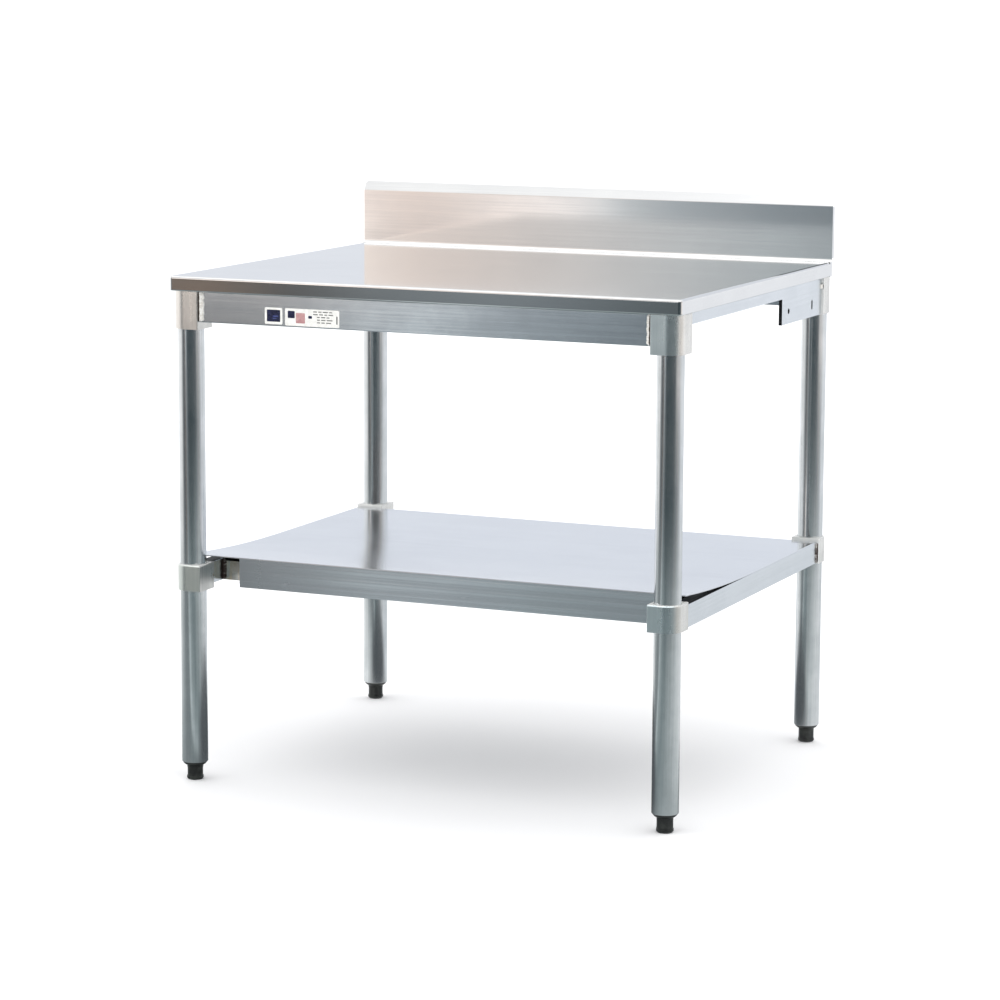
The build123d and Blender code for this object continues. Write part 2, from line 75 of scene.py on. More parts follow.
class Tree:
    """A node tree with one short call for each kind of node that the materials use."""

    def __init__(self, owner):
        owner.use_nodes = True
        self.tree = owner.node_tree
        self.links = self.tree.links

    def add(self, kind, **settings):
        node = self.tree.nodes.new("ShaderNode" + kind)
        for name, value in settings.items():
            setattr(node, name, value)
        return node

    def feed(self, socket, value):
        """value is either another node's output, or a plain number or colour."""
        if isinstance(value, bpy.types.NodeSocket):
            self.links.new(value, socket)
        else:
            socket.default_value = value

    def math(self, operation, a, b=0.0, c=0.0):
        node = self.add("Math", operation=operation)
        for socket, value in zip(node.inputs, (a, b, c)):
            self.feed(socket, value)
        return node.outputs[0]

    def product(self, first, *others):
        for value in others:
            first = self.math("MULTIPLY", first, value)
        return first

    def blend(self, a, b, share):
        """a and b added up, with share of b."""
        return self.math("MULTIPLY_ADD", a, 1.0 - share, self.math("MULTIPLY", b, share))

    def between(self, value, low, high, to_low=0.0, to_high=1.0):
        """value from low to high becomes to_low to to_high, with soft ends."""
        node = self.add("MapRange", interpolation_type="SMOOTHSTEP")
        for socket, given in zip(node.inputs, (value, low, high, to_low, to_high)):
            self.feed(socket, given)
        return node.outputs[0]

    def mix(self, factor, a, b):
        node = self.add("Mix", data_type="RGBA")
        inputs = {socket.identifier: socket for socket in node.inputs}
        self.feed(inputs["Factor_Float"], factor)
        self.feed(inputs["A_Color"], a)
        self.feed(inputs["B_Color"], b)
        return next(s for s in node.outputs if s.identifier == "Result_Color")

    def ramp(self, factor, stops):
        """stops are (position, colour) pairs."""
        node = self.add("ValToRGB")
        ramp = node.color_ramp
        while len(ramp.elements) < len(stops):
            ramp.elements.new(0.5)
        for element, (position, colour) in zip(ramp.elements, stops):
            element.position = position
            element.color = colour
        self.feed(node.inputs[0], factor)
        return node.outputs[0]

    def split(self, vector):
        """A vector's three parts."""
        node = self.add("SeparateXYZ")
        self.links.new(vector, node.inputs[0])
        return node.outputs

    def place(self):
        """The point on the surface, in metres, in the table's own frame."""
        return self.add("TexCoord").outputs["Object"]

    def normal(self):
        """The way the surface faces, in the table's own frame."""
        return self.add("TexCoord").outputs["Normal"]

    def noise(self, stretch, detail=2.0, roughness=0.5):
        """Noise from 0 to 1, with stretch features to the metre along X, Y and Z."""
        mapping = self.add("Mapping")
        self.links.new(self.place(), mapping.inputs["Vector"])
        mapping.inputs["Scale"].default_value = stretch
        node = self.add("TexNoise")
        self.links.new(mapping.outputs[0], node.inputs["Vector"])
        node.inputs["Scale"].default_value = 1.0
        node.inputs["Detail"].default_value = detail
        node.inputs["Roughness"].default_value = roughness
        return node.outputs["Fac"]

    def bump(self, height, distance, normal=None):
        node = self.add("Bump")
        self.feed(node.inputs["Height"], height)
        node.inputs["Distance"].default_value = distance
        node.inputs["Strength"].default_value = 1.0
        if normal is not None:
            self.links.new(normal, node.inputs["Normal"])
        return node.outputs[0]

    def leaning(self, tilt):
        """The surface normal, tipped down by tilt (radians), or up if it is negative."""
        down = self.add("CombineXYZ")
        self.feed(down.inputs["Z"], self.math("MULTIPLY", tilt, -1.0))
        tipped = self.add("VectorMath", operation="ADD")
        self.links.new(self.normal(), tipped.inputs[0])
        self.links.new(down.outputs[0], tipped.inputs[1])
        unit = self.add("VectorMath", operation="NORMALIZE")
        self.links.new(tipped.outputs[0], unit.inputs[0])
        return unit.outputs[0]


class Material(Tree):
    def __init__(self, name):
        self.material = bpy.data.materials.new(name)
        super().__init__(self.material)
        self.surface = self.tree.nodes["Principled BSDF"]

    def set(self, **sockets):
        for name, value in sockets.items():
            self.feed(self.surface.inputs[name.replace("_", " ")], value)


def worn_metal(name, base, dull, grain, streaks, roughness, patch, bump, marks=0.0,
               finish_and_painted_light=None, lean=None):
    """Bare metal with a grain.

    grain and streaks are the fine and the coarse lines, in features to the metre along X, Y and Z,
    and patch the same for the cloudy patches. base and dull are the colour's two ends, roughness
    the least and the most, bump the depth of the grain in metres, and marks the share of small
    scuffs. The function given after marks may change the colour, the roughness and the metallic share
    on one part of the surface, for a real finish and for painted light and shade. lean says how far
    faces tip, for those that do not stand quite upright.
    """
    m = Material(name)
    fine = m.noise(grain, detail=3.0, roughness=0.6)
    coarse = m.noise(streaks)
    cloud = m.noise((patch, patch, patch), detail=4.0, roughness=0.6)
    lines = m.blend(fine, coarse, 0.55)
    colour = m.mix(m.between(m.blend(lines, cloud, 0.5), 0.36, 0.64), base, dull)
    rough = m.between(m.blend(lines, cloud, 0.6), 0.3, 0.7, *roughness)
    if marks:
        scuffs = m.between(m.noise((90, 90, 90), detail=5.0, roughness=0.7), 0.66, 0.74)
        scuffs = m.product(scuffs, marks)
        scuffed = tuple(0.45 * v for v in dull[:3]) + (1.0,)
        colour = m.mix(scuffs, colour, scuffed)
        rough = m.math("MULTIPLY_ADD", scuffs, 0.2, rough)
    metal = 1.0
    if finish_and_painted_light:
        colour, rough, metal = finish_and_painted_light(m, colour, rough, coarse)
    normal = m.leaning(lean(m)) if lean else None
    m.set(Base_Color=colour, Roughness=rough, Metallic=metal)
    m.set(Normal=m.bump(fine, bump, normal=normal))
    return m.material


# ---------------------------------------------------------------- what differs on one part of a metal

def edge_lean(m):
    """The worktop's front edge is folded a little past square, so it faces slightly down."""
    past_square = 0.045
    facing_front = m.between(m.split(m.normal())[1], -0.99, -0.93, past_square, 0.0)
    at_front = m.between(m.split(m.place())[1], -0.3, -0.2, 1.0, 0.0)
    return m.product(facing_front, at_front)


def socket_lean(m):
    """The sockets have a slight draft, and the shelf's are rounded over at the top."""
    draft, rounded_over = 0.035, 0.85
    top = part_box("shelf_socket_front_left")[1].z
    z = m.split(m.place())[2]
    rim = m.product(
        m.between(z, top - 3.0 * MM, top - 0.6 * MM, 0.0, rounded_over),
        m.between(z, top + 10 * MM, top + 20 * MM, 1.0, 0.0),
    )
    return m.math("SUBTRACT", -draft, rim)


def socket_finish_and_painted_light(m, colour, rough, lines):
    """Front faces are a little cooler, but warmer on the top frame's left sockets: a painted
    reflection, tinted by the way each face points. The sawn upper and lower faces are pale and rough,
    and a strip beside the rear sockets' welds is painted pale and rough too, as a painted highlight."""
    x, y, z = m.split(m.place())
    _, facing_y, facing_z = m.split(m.normal())
    # painted reflection: front faces get a cooler tint, and a warmer one on the top frame's left
    # sockets
    to_front = m.between(facing_y, -0.9, -0.5, 0.5, 0.0)
    cool_reflection = m.mix(m.between(x, -0.2, 0.2), srgb(228, 240, 234), srgb(218, 243, 252))
    warm_reflection = m.product(m.between(x, -0.2, 0.0, 1.0, 0.0), m.between(z, 0.5, 0.7))
    colour = m.mix(to_front, colour, m.mix(warm_reflection, cool_reflection, srgb(255, 246, 238)))
    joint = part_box("top_socket_rear_right")[0].y
    # painted highlight: a pale, rough strip on the rear sockets' front faces, beside the welds
    pale_strip = m.product(
        m.between(y, joint + 0.6 * MM, joint + 1.4 * MM, 1.0, 0.0),
        m.between(y, joint - 5 * MM, joint - 3 * MM),
        m.between(lines, 0.3, 0.6, 0.75, 1.0),
    )
    pale = m.math("MAXIMUM", m.between(m.math("ABSOLUTE", facing_z), 0.5, 0.8), pale_strip)
    colour = m.mix(pale, colour, srgb(246, 246, 244))
    rough = m.math("MULTIPLY_ADD", pale, m.between(lines, 0.3, 0.7, 0.22, 0.32), rough)
    return colour, rough, m.between(pale, 0.0, 1.0, 1.0, 0.45)


def painted_rail_shade(m, colour, rough, lines):
    """Painted shade, nearly black, on the side plates' cut faces and in their holes, and on top of the
    shelf's side rails where the sheet stands clear of them and keeps the light off."""
    x, y, z = m.split(m.place())
    facing_x, _, facing_z = m.split(m.normal())
    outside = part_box("right_side_rail")[1].x
    # painted shade on the plates' cut end faces and hole walls
    cut = m.product(
        m.between(m.math("ABSOLUTE", x), outside - 7 * MM, outside - 6.4 * MM),
        m.between(m.math("ABSOLUTE", facing_x), 0.3, 0.6, 1.0, 0.0),
        m.between(facing_z, -0.7, -0.4),
    )
    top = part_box("shelf_right_rail")[1].z
    # painted shade in the slit under the sheet, on top of the shelf's side rails
    ledge = m.product(
        m.between(z, top - 0.5 * MM, top - 0.2 * MM),
        m.between(z, top + 1 * MM, top + 2 * MM, 1.0, 0.0),
        m.between(y, -0.03, 0.04, 1.0, 0.0),
    )
    dark = m.product(m.math("MAXIMUM", cut, ledge), m.between(lines, 0.2, 0.5, 0.86, 0.97))
    return m.mix(dark, colour, srgb(34, 34, 36)), m.math("MULTIPLY_ADD", dark, 0.35, rough), 1.0


def shaded_by_sheet(m, colour, rough, lines):
    """The shelf's front rail: nearly black along its top, where the sheet keeps the light off it,
    with a heat tint at its welds."""
    x, _, z = m.split(m.place())
    tint = m.product(
        m.between(m.math("ABSOLUTE", x), 0.350, 0.415, 0.0, 0.62),
        m.between(m.noise((160, 160, 20), detail=3.0), 0.35, 0.6, 0.45, 1.0),
    )
    colour = m.mix(tint, colour, srgb(236, 206, 164))
    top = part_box("shelf_front_rail")[1].z
    dark = m.product(
        m.between(z, top - 5.2 * MM, top - 4.4 * MM),
        m.between(lines, 0.2, 0.5, 0.97, 1.0),
    )
    return m.mix(dark, colour, srgb(10, 10, 11)), m.math("MULTIPLY_ADD", tint, 0.16, rough), 1.0


def rolled_flange(m, colour, rough, _):
    """The sheet's front flange: dull bands along it, and duller still at its left end."""
    x, y, _ = m.split(m.place())
    low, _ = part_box("shelf_deck")
    bands = m.between(m.noise((0.7, 1.0, 130.0), detail=3.0, roughness=0.6), 0.35, 0.62)
    left_end = m.between(x, low.x + 0.10, low.x + 0.20, 0.40, 0.0)
    dull = m.product(
        m.between(y, low.y + 2.4 * MM, low.y + 1.9 * MM),
        m.math("MAXIMUM", m.product(bands, 0.26), left_end),
    )
    colour = m.mix(dull, colour, srgb(150, 156, 160))
    return colour, m.math("MULTIPLY_ADD", dull, 0.22, rough), 1.0


# ---------------------------------------------------------------- metals, plastic and film

def stainless():
    """The worktop: satin, with a grain along its length, and clear enough to mirror things."""
    return worn_metal(
        "stainless_brushed", srgb(240, 240, 239), srgb(230, 230, 230),
        grain=(14, 1600, 1600), streaks=(2.5, 260, 260), patch=4.0,
        roughness=(0.06, 0.11), bump=0.5e-6, lean=edge_lean,
    )


def pipe():
    """The legs: drawn tube with fine lines along its length and a faint mottle."""
    return worn_metal(
        "aluminium_drawn_tube", srgb(226, 228, 229), srgb(206, 210, 211),
        grain=(1300, 1300, 9), streaks=(260, 260, 2), patch=14.0,
        roughness=(0.13, 0.22), bump=2e-6, marks=0.10,
    )


def socket_metal():
    """The sockets: sawn lengths of an extrusion, duller than the pipes, with lines up and down."""
    return worn_metal(
        "aluminium_socket", srgb(238, 236, 231), srgb(210, 209, 204),
        grain=(1100, 1100, 12), streaks=(220, 220, 6), patch=12.0,
        roughness=(0.24, 0.34), bump=5e-6, marks=0.04, finish_and_painted_light=socket_finish_and_painted_light, lean=socket_lean,
    )


def rail_metal(name="aluminium_rail", finish_and_painted_light=None):
    """Aprons and shelf rails: mill-finish extrusion with lines along its length."""
    return worn_metal(
        name, srgb(222, 227, 230), srgb(196, 203, 208),
        grain=(10, 1400, 1400), streaks=(2.5, 230, 230), patch=7.0,
        roughness=(0.11, 0.17), bump=1.2e-5, marks=0.10, finish_and_painted_light=finish_and_painted_light,
    )


def side_rail_metal():
    """The rails that run from front to back, with their lines that way, and paler."""
    return worn_metal(
        "aluminium_side_rail", srgb(226, 230, 234), srgb(216, 221, 225),
        grain=(1400, 10, 1400), streaks=(230, 2.5, 230), patch=7.0,
        roughness=(0.17, 0.26), bump=3e-6, marks=0.10, finish_and_painted_light=painted_rail_shade,
    )


def sheet_metal():
    """The undershelf: rolled sheet, pale, with a soft sheen and lines along the front."""
    return worn_metal(
        "aluminium_sheet", srgb(232, 235, 239), srgb(226, 229, 234),
        grain=(9, 1200, 1200), streaks=(1.6, 150, 150), patch=5.0,
        roughness=(0.16, 0.22), bump=1.2e-6, marks=0.08, finish_and_painted_light=rolled_flange,
    )


def hat_metal():
    """The stiffeners out of sight: dull folded sheet."""
    return worn_metal(
        "aluminium_hat_section", srgb(204, 206, 208), srgb(176, 180, 182),
        grain=(10, 1300, 1300), streaks=(2, 200, 200), patch=8.0,
        roughness=(0.30, 0.42), bump=4e-6, marks=0.2,
    )


def zinc():
    """Grub screws, bolts and nuts: plated steel, slightly yellow and mottled."""
    m = Material("zinc_plate")
    cloud = m.noise((260, 260, 260), detail=4.0)
    fine = m.noise((1500, 1500, 1500))
    colour = m.mix(m.between(cloud, 0.35, 0.65), srgb(176, 176, 168), srgb(140, 136, 120))
    m.set(Base_Color=colour, Roughness=m.between(cloud, 0.3, 0.7, 0.28, 0.46), Metallic=1.0)
    m.set(Normal=m.bump(fine, 8e-6))
    return m.material


def weld_metal():
    """A bead is bright, with soot and a brown heat tint along its toes, and painted shade on the toe
    against a socket and in the corner behind it.
    """
    m = Material("weld_bead")
    soot_and_shade = m.add("Attribute", attribute_name="soot_and_shade").outputs["Fac"]
    cloud = m.noise((380, 380, 380), detail=4.0, roughness=0.7)
    # soot, plus painted shade at the socket-side toe and for the shelf's beads
    darkened = m.between(m.math("MULTIPLY_ADD", cloud, 0.35, soot_and_shade), 0.50, 0.78)
    bright = m.mix(m.between(cloud, 0.4, 0.6), srgb(250, 249, 246), srgb(222, 218, 210))
    dark = m.mix(cloud, srgb(18, 14, 13), srgb(70, 50, 42))
    m.set(Base_Color=m.mix(darkened, bright, dark), Metallic=m.between(darkened, 0, 1, 0.38, 0.25))
    m.set(Roughness=m.between(darkened, 0, 1, 0.34, 0.62))
    m.set(Normal=m.bump(m.noise((1400, 1400, 1400), detail=3.0), 2.5e-5))
    return m.material


def black_plastic():
    """Feet and inserts: moulded, with a fine texture and a dusty sheen."""
    m = Material("black_moulded_plastic")
    texture = m.noise((2200, 2200, 2200))
    dust = m.between(m.noise((60, 60, 60), detail=5.0, roughness=0.65), 0.45, 0.7)
    m.set(Base_Color=m.mix(dust, srgb(26, 28, 27), srgb(48, 52, 48)))
    m.set(Roughness=m.between(dust, 0, 1, 0.34, 0.52))
    m.set(Normal=m.bump(texture, 2.2e-5))
    return m.material


def film(name, colour, faded):
    """Printed film: smooth, with a little unevenness in its ink and a faint orange-peel."""
    m = Material(name)
    cloud = m.noise((120, 120, 120), detail=3.0)
    peel = m.noise((700, 700, 700), detail=1.0)
    m.set(Base_Color=m.mix(m.between(cloud, 0.35, 0.65), colour, faded))
    m.set(Roughness=m.between(peel, 0.3, 0.7, 0.22, 0.34), Normal=m.bump(peel, 6e-6))
    return m.material


# ---------------------------------------------------------------- pieces made here

def finish_mesh(name, work, material, body, smooth=True):
    """The bmesh as a new piece that rides on a body."""
    bmesh.ops.recalc_face_normals(work, faces=work.faces)
    mesh = bpy.data.meshes.new(name)
    work.to_mesh(mesh)
    work.free()
    for polygon in mesh.polygons:
        polygon.use_smooth = smooth
    mesh.materials.append(material)
    piece = add_object(name, mesh)
    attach(piece, body)
    return piece


def skirt(work, ring, other):
    """Faces between two rings with the same number of vertices."""
    for k in range(len(ring)):
        after = (k + 1) % len(ring)
        work.faces.new((ring[k], ring[after], other[after], other[k]))


def read_off(knots, along):
    """The height of a line through evenly spaced knots, at a share of the way along it."""
    spot = along * (len(knots) - 1)
    k = min(int(spot), len(knots) - 2)
    return knots[k] + (knots[k + 1] - knots[k]) * (spot - k)


def bead(work, soot_and_shade, corner, reach, low, high, shade_all_over, rng):
    """One weld bead up a corner: overlapping ripples between two faces that meet at corner.

    reach is how far it spreads along X and along Y, with its sign. Soot, and painted shade for the
    shadowed gap, lie where the shorter one ends, which is on a socket, or at the end along Y if they
    are equal. The share given after high darkens the whole bead, as painted shade.
    """
    around, step = 10, 0.3 * MM
    dark_toe_from = 0.62  # of the way from the rail to the socket
    rows = max(4, round((high - low) / step))
    socket_first = abs(reach[0]) < abs(reach[1])
    wander = [rng.uniform(-1, 1) for _ in range(12)]
    rings, ripple_at, ripple = [], 0.0, rng.uniform(1.5, 2.3) * MM
    for row in range(rows + 1):
        along = row / rows
        z = low + (high - low) * along
        ripple_at += step / ripple
        if ripple_at >= 1:
            ripple_at, ripple = 0.0, rng.uniform(1.5, 2.5) * MM
        swell = 0.80 + 0.24 * math.sqrt(1 - (2 * ripple_at - 1) ** 2)
        taper = min(1.0, 0.55 + 9 * min(along, 1 - along))
        drift = read_off(wander, along)
        ring = []
        for k in range(around + 1):
            turn = math.radians(90 * k / around)
            bulge = swell * taper * (1 - 0.16 * math.sin(2 * turn)) + 0.10 * drift * math.cos(turn)
            x = corner[0] + reach[0] * math.cos(turn) * bulge
            y = corner[1] + reach[1] * math.sin(turn) * bulge
            vertex = work.verts.new((x, y, z))
            to_socket = 1 - k / around if socket_first else k / around
            toe = max(0.0, (to_socket - dark_toe_from) / (1 - dark_toe_from))
            # soot along the toe, and painted shade where the toe meets a socket
            vertex[soot_and_shade] = shade_all_over + toe + rng.uniform(0, 0.10) + 0.08 * drift
            ring.append(vertex)
        # the inner corner behind the bead, fully dark as painted shade
        back = work.verts.new((corner[0], corner[1], z))
        back[soot_and_shade] = 1.0
        ring.append(back)
        rings.append(ring)
    for lower, upper in zip(rings, rings[1:]):
        skirt(work, lower, upper)
    work.faces.new(rings[0][::-1])
    work.faces.new(rings[-1])


def weld_beads(name, body, cad_node, joints, material, shade_all_over=0.0):
    """All of a body's beads as one piece. Each joint is (corner, reach, low, high)."""
    rng = random.Random(name)
    work = bmesh.new()
    soot_and_shade = work.verts.layers.float.new("soot_and_shade")
    for corner, reach, low, high in joints:
        bead(work, soot_and_shade, corner, reach, low, high, shade_all_over, rng)
    piece = finish_mesh(name, work, material, body)
    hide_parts(cad_node)


def sides_of(corner):
    """-1 or 1 for left or right, and for front or rear."""
    return (-1 if "left" in corner else 1), (-1 if "front" in corner else 1)


def face_of(node, axis, way):
    """Where a node ends along an axis (0 for X, 1 for Y), on its low side (-1) or its high one (1)."""
    low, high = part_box(node)
    return (high if way > 0 else low)[axis]


def top_joints():
    """The top frame's welds: up each end of the aprons, and a short tack at each side rail."""
    along_rail, along_socket, left_is_wider = 7.5 * MM, 4.0 * MM, 1.4
    tack_start, tack = 18.5 * MM, 8.0 * MM
    joints = []
    for corner in CORNERS:
        side, end = sides_of(corner)
        socket = "top_socket_" + corner
        apron = "front_apron" if end < 0 else "rear_apron"
        rail = "left_side_rail" if side < 0 else "right_side_rail"
        low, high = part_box(apron)
        at_apron = (face_of(socket, 0, -side), face_of(apron, 1, end))
        spread = along_rail * (left_is_wider if side < 0 else 1.0)
        reach = (-side * spread, end * along_socket)
        joints.append((at_apron, reach, low.z + 1.5 * MM, high.z - 0.5 * MM))
        at_rail = (face_of(rail, 0, side), face_of(socket, 1, -end))
        reach = (side * along_socket, -end * along_rail)
        joints.append((at_rail, reach, high.z - tack_start, high.z - tack_start + tack))
    return joints


def shelf_joints():
    """The shelf's welds: where its side rails meet the sockets, and where its rails meet."""
    along_rail, along_socket, inset = 6.0 * MM, 3.5 * MM, 1.5 * MM
    joints = []
    for corner in CORNERS:
        side, end = sides_of(corner)
        rail = "shelf_left_rail" if side < 0 else "shelf_right_rail"
        cross = "shelf_front_rail" if end < 0 else "shelf_rear_rail"
        low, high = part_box(rail)
        heights = (low.z + inset, high.z - inset)
        at_socket = (face_of(rail, 0, side), face_of("shelf_socket_" + corner, 1, -end))
        joints.append((at_socket, (side * along_socket, -end * along_rail), *heights))
        at_cross = (face_of(rail, 0, -side), face_of(cross, 1, end))
        joints.append((at_cross, (-side * along_rail, end * along_rail), *heights))
    return joints


def rounded_plate(work, left, right, low, high, front, thickness, radius):
    """A thin upright plate that faces the front, with rounded corners."""
    steps = 4
    outline = []
    for x, z, start in ((right, high, 0), (left, high, 90), (left, low, 180), (right, low, 270)):
        cx = x + (radius if x == left else -radius)
        cz = z + (radius if z == low else -radius)
        for k in range(steps + 1):
            turn = math.radians(start + 90 * k / steps)
            outline.append((cx + radius * math.cos(turn), cz + radius * math.sin(turn)))
    rear = [work.verts.new((x, front + thickness, z)) for x, z in outline]
    face = [work.verts.new((x, front, z)) for x, z in outline]
    work.faces.new(face)
    work.faces.new(rear[::-1])
    skirt(work, face, rear)


def printed(name, label, plates, material, layer=1):
    """Ink that stands a hair proud of a label, or of the ink under it where layer is 2.

    Each plate is (left, right, bottom, top), in shares of the label's width and height.
    """
    ink, largest_radius = 0.06 * MM, 1.4 * MM
    low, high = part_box(label)
    wide, tall = high.x - low.x, high.z - low.z
    work = bmesh.new()
    for left, right, bottom, top in plates:
        radius = min(largest_radius, 0.3 * (top - bottom) * tall, 0.3 * (right - left) * wide)
        rounded_plate(
            work, low.x + left * wide, low.x + right * wide,
            low.z + bottom * tall, low.z + top * tall, low.y - layer * ink, ink, radius,
        )
    finish_mesh(name, work, material, "frame", smooth=False)


def label_rows():
    """Grey bars in ragged rows, in place of print, and an upright one at the label's end."""
    rows, top_row, pitch, height = 5, 0.90, 0.155, 0.066
    left, indent, last_start, right, gap = 0.52, 0.07, 0.84, 0.90, 0.022
    rng = random.Random(7)
    bars = [(0.945, 0.97, 0.20, 0.66)]
    for row in range(rows):
        top = top_row - pitch * row
        start = left + (indent if row > 1 else 0.0)
        while start < last_start:
            length = rng.uniform(0.05, 0.12)
            bars.append((start, min(start + length, right), top - height, top))
            start += length + gap
    return bars


def make_pieces():
    metal = weld_metal()
    weld_beads("top_weld_beads", "frame", "frame_welds", top_joints(), metal)
    # The shelf's beads are darkened all over, as painted shade, because they lie in shadow under the
    # top.
    weld_beads("shelf_weld_beads", "shelf", "shelf_welds", shelf_joints(), metal, shade_all_over=0.5)
    navy = film("ink_navy", srgb(14, 18, 48), srgb(26, 32, 66))
    blue = film("ink_blue", srgb(52, 62, 116), srgb(66, 76, 128))
    ink = film("ink_grey", srgb(96, 96, 96), srgb(130, 130, 128))
    rose = film("ink_rose", srgb(166, 122, 124), srgb(184, 146, 144))
    panel = [(0.12, 0.88, 0.15, 0.87)]
    panel_bars = [(0.45, 0.76, 0.45, 0.52), (0.45, 0.65, 0.32, 0.38)]
    mark = [(0.05, 0.18, 0.44, 0.86), (0.43, 0.50, 0.46, 0.62)]
    tint = [(0.20, 0.37, 0.16, 0.76)]
    printed("label_small_panel", "label_small", panel, navy)
    printed("label_small_bars", "label_small", panel_bars, blue, layer=2)
    printed("label_wide_rows", "label_wide", label_rows(), ink)
    printed("label_wide_mark", "label_wide", mark, navy)
    printed("label_wide_tint", "label_wide", tint, rose)


# ---------------------------------------------------------------- materials onto the CAD nodes

def paint(material, *nodes):
    for name in nodes:
        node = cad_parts[name]
        node.data.materials.clear()
        node.data.materials.append(material)


def at_corners(*stems):
    return [stem + corner for stem in stems for corner in CORNERS]


def paint_all():
    paint(stainless(), "worktop")
    paint(pipe(), *at_corners("leg_"))
    paint(socket_metal(), *at_corners("top_socket_", "shelf_socket_"))
    paint(rail_metal(), "front_apron", "rear_apron", "top_cross_rail", "shelf_rear_rail")
    paint(rail_metal("aluminium_front_rail", shaded_by_sheet), "shelf_front_rail")
    paint(side_rail_metal(), "left_side_rail", "right_side_rail", "shelf_left_rail", "shelf_right_rail")
    paint(sheet_metal(), "shelf_deck")
    paint(hat_metal(), "hat_channel_front", "hat_channel_middle", "hat_channel_rear", "shelf_stiffener")
    paint(zinc(), "top_clamp_screws", "shelf_clamp_screws", "top_fixing_bolts", "top_fixing_nuts")
    paint(black_plastic(), *at_corners("foot_insert_", "levelling_foot_"))
    white = film("film_white", srgb(226, 226, 222), srgb(214, 214, 210))
    paint(white, "label_small", "label_wide")


# ---------------------------------------------------------------- studio
#
# The ramps below give what the metal mirrors, once round the table: 0 is straight behind it, 0.25 to
# its right, 0.5 in front and 0.75 to its left. They change quickest just left of the front, which is
# what the faces towards the front mirror for someone who stands to their right.

WALLS = (
    (0.00, glow(0.72, 0.76, 0.83)), (0.09, glow(0.86, 0.88, 0.93)), (0.17, glow(0.90, 0.91, 0.95)),
    (0.23, glow(0.70, 0.67, 0.66)), (0.29, glow(0.50, 0.47, 0.46)), (0.34, grey(0.16)),
    (0.42, grey(0.09)), (0.52, grey(0.09)), (0.545, glow(0.24, 0.28, 0.30)),
    (0.553, glow(0.48, 0.53, 0.56)), (0.560, glow(0.68, 0.69, 0.70)),
    (0.565, glow(0.78, 0.72, 0.69)), (0.5705, glow(0.84, 0.72, 0.66)),
    (0.5735, glow(1.30, 1.18, 1.10)), (0.5835, glow(1.30, 1.18, 1.10)), (0.588, grey(0.22)),
    (0.635, grey(0.26)), (0.67, grey(1.0)), (0.845, glow(1.10, 1.11, 1.14)),
    (0.875, glow(0.86, 0.89, 0.95)), (0.90, glow(0.80, 0.83, 0.89)), (1.00, glow(0.74, 0.78, 0.85)),
)
SKY = glow(1.08, 1.09, 1.10)
SOFTBOX = glow(1.70, 1.71, 1.74)
FILL_LIGHT = 1.52

# Painted shadow: the floor card glows and casts none, so the dark under the table is painted into it.
FLOOR_SHADOW_UNDER_TABLE = glow(0.10, 0.11, 0.12)
FLOOR_NEAR = (
    (0.00, glow(0.70, 0.74, 0.78)), (0.17, glow(0.84, 0.86, 0.88)), (0.26, glow(0.64, 0.68, 0.69)),
    (0.33, glow(0.52, 0.56, 0.57)), (0.41, glow(0.34, 0.39, 0.40)), (0.48, glow(0.22, 0.27, 0.28)),
    (0.545, glow(0.36, 0.42, 0.43)), (0.554, glow(0.56, 0.62, 0.64)),
    (0.572, glow(0.58, 0.64, 0.65)), (0.580, glow(0.22, 0.26, 0.27)),
    (0.63, glow(0.24, 0.27, 0.28)), (0.68, glow(0.40, 0.44, 0.45)), (0.75, glow(0.75, 0.78, 0.79)),
    (0.83, glow(1.05, 1.07, 1.08)), (1.00, glow(0.70, 0.74, 0.78)),
)
FLOOR_FAR = (
    (0.00, glow(0.84, 0.87, 0.92)), (0.09, glow(0.90, 0.92, 0.96)), (0.17, glow(0.86, 0.88, 0.92)),
    (0.22, glow(0.42, 0.44, 0.46)), (0.28, glow(0.17, 0.19, 0.20)), (0.36, glow(0.06, 0.08, 0.09)),
    (0.50, glow(0.040, 0.055, 0.062)), (0.54, glow(0.10, 0.12, 0.13)),
    (0.556, glow(0.21, 0.24, 0.26)), (0.570, glow(0.16, 0.18, 0.19)), (0.578, grey(0.11)),
    (0.586, glow(0.25, 0.19, 0.15)), (0.600, glow(0.10, 0.11, 0.12)),
    (0.64, glow(0.12, 0.13, 0.14)), (0.665, grey(0.55)), (0.69, grey(0.95)),
    (0.85, glow(1.25, 1.26, 1.28)), (1.00, glow(0.84, 0.87, 0.92)),
)
FLOOR_BEYOND = (
    (0.00, glow(0.84, 0.87, 0.92)), (0.17, glow(1.0, 1.01, 1.04)), (0.23, glow(0.95, 0.91, 0.89)),
    (0.29, glow(0.85, 0.81, 0.79)), (0.33, glow(0.16, 0.17, 0.18)), (0.42, glow(0.05, 0.07, 0.08)),
    (0.53, glow(0.06, 0.08, 0.09)), (0.552, glow(0.28, 0.32, 0.35)),
    (0.558, glow(0.38, 0.43, 0.46)), (0.564, glow(0.72, 0.78, 0.82)),
    (0.571, glow(0.84, 0.90, 0.94)), (0.5745, glow(0.34, 0.37, 0.39)),
    (0.577, glow(0.13, 0.14, 0.15)), (0.64, glow(0.14, 0.15, 0.16)), (0.68, grey(0.90)),
    (0.78, grey(1.10)), (0.88, glow(1.15, 1.17, 1.20)), (1.00, glow(0.84, 0.87, 0.92)),
)
FLOOR_AT_WINDOW = (
    (0.566, glow(1.10, 1.03, 1.00)), (0.571, glow(1.05, 0.93, 0.87)),
    (0.574, glow(0.83, 0.71, 0.65)), (0.5775, glow(0.87, 0.74, 0.68)),
    (0.5787, glow(0.98, 0.84, 0.77)), (0.580, glow(1.40, 1.28, 1.20)),
)


